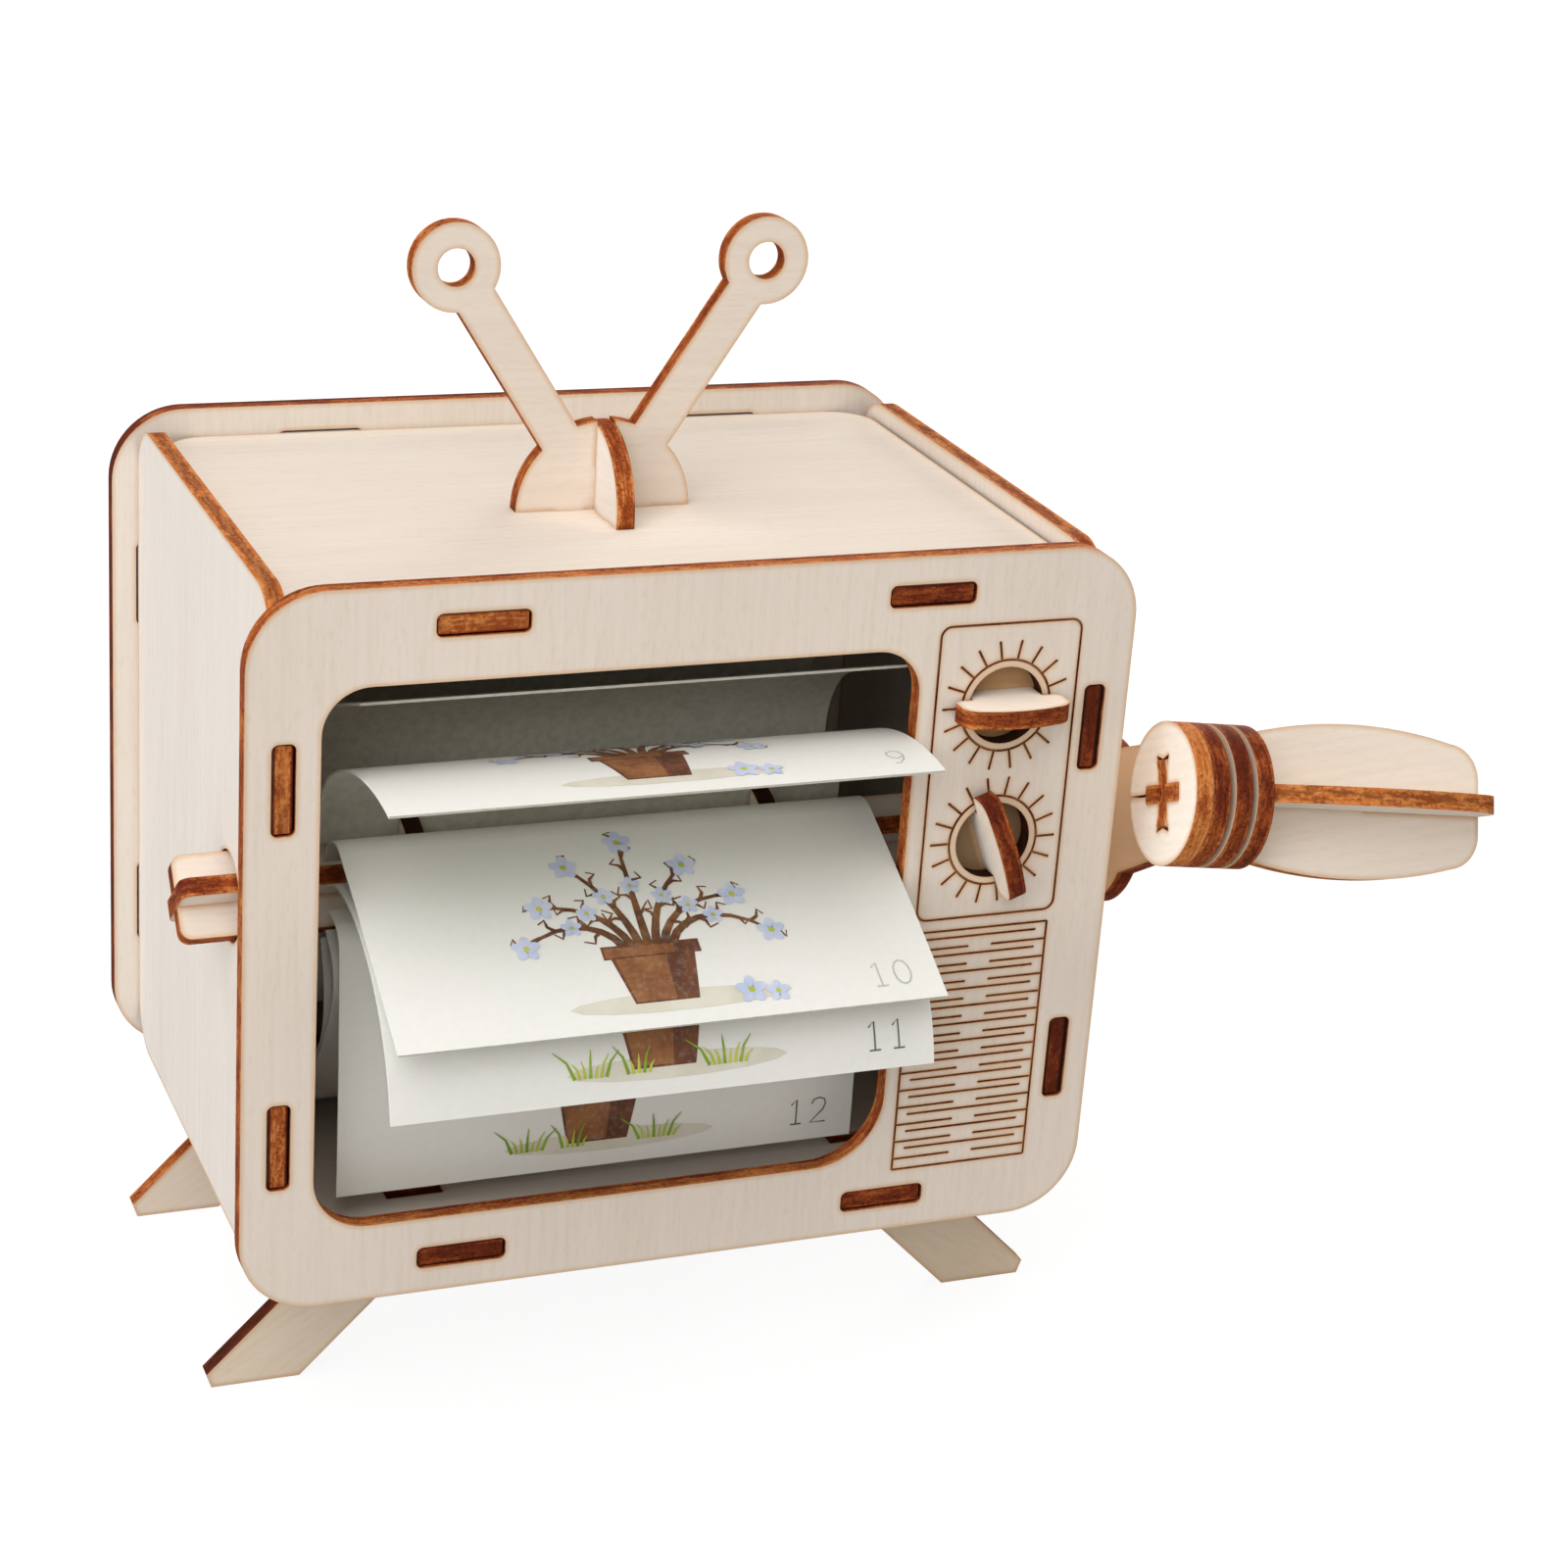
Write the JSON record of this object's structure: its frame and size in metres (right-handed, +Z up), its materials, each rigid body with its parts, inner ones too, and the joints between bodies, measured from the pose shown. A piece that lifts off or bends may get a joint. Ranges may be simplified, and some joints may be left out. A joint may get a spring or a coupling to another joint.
{
  "type": "flip card viewer toy",
  "caption": "Hand-cranked flip-card picture viewer shaped like an old television: slotted plywood box, window, crank, knobs, V antenna and splayed legs.",
  "frame": {"origin": "under the middle of the toy's box, on the surface that its feet stand on", "axes": "+X towards the crank, -Y out of the window towards the viewer, +Z up"},
  "size_m": [0.1798, 0.1006, 0.1531],
  "materials": {
    "plywood": "bare birch plywood, laser cut with scorched edges",
    "plywood_engraved": "bare birch plywood, laser cut and engraved",
    "card_paper": "matt printed paper card"
  },
  "bodies": {
    "housing": {"front_panel": "plywood_engraved", "back_panel": "plywood", "side_left": "plywood", "side_right": "plywood", "top_plate": "plywood", "bottom_plate": "plywood", "antenna_front": "plywood", "antenna_cross": "plywood", "leg_front_left": "plywood", "leg_front_right": "plywood", "leg_rear_left": "plywood", "leg_rear_right": "plywood"},
    "drum": {"axle_blade_a": "plywood", "axle_blade_b": "plywood", "collar_left": "plywood", "collar_right": "plywood", "hub_left": "plywood", "hub_right": "plywood", "card_01": "card_paper", "card_02": "card_paper", "card_03": "card_paper", "card_04": "card_paper", "card_05": "card_paper", "card_06": "card_paper", "card_07": "card_paper", "card_08": "card_paper", "card_09": "card_paper", "card_10": "card_paper", "card_11": "card_paper", "card_12": "card_paper", "crank_arm": "plywood"},
    "handle": {"snap_disc": "plywood", "washer_inner": "plywood", "washer_outer": "plywood", "grip_blade_tall": "plywood", "grip_blade_flat": "plywood"},
    "knob_upper": {"knob_blade_upper": "plywood", "knob_plate_upper": "plywood"},
    "knob_lower": {"knob_blade_lower": "plywood", "knob_plate_lower": "plywood"}
  },
  "joints": [
    {"name": "crank_spin", "type": "hinge", "parent": "housing", "child": "drum", "pos_m": [0.04404, -0.00951, 0.06845], "axis": [1, 0, 0], "continuous": true},
    {"name": "handle_spin", "type": "hinge", "parent": "drum", "child": "handle", "pos_m": [0.04433, -0.03322, 0.08136], "axis": [0.9925, -0.0496, -0.1113], "continuous": true},
    {"name": "knob_upper_turn", "type": "hinge", "parent": "housing", "child": "knob_upper", "pos_m": [0.01564, -0.03251, 0.09625], "axis": [0, -1, 0], "continuous": true},
    {"name": "knob_lower_turn", "type": "hinge", "parent": "housing", "child": "knob_lower", "pos_m": [0.01564, -0.03251, 0.07695], "axis": [0, -1, 0], "continuous": true}
  ]
}
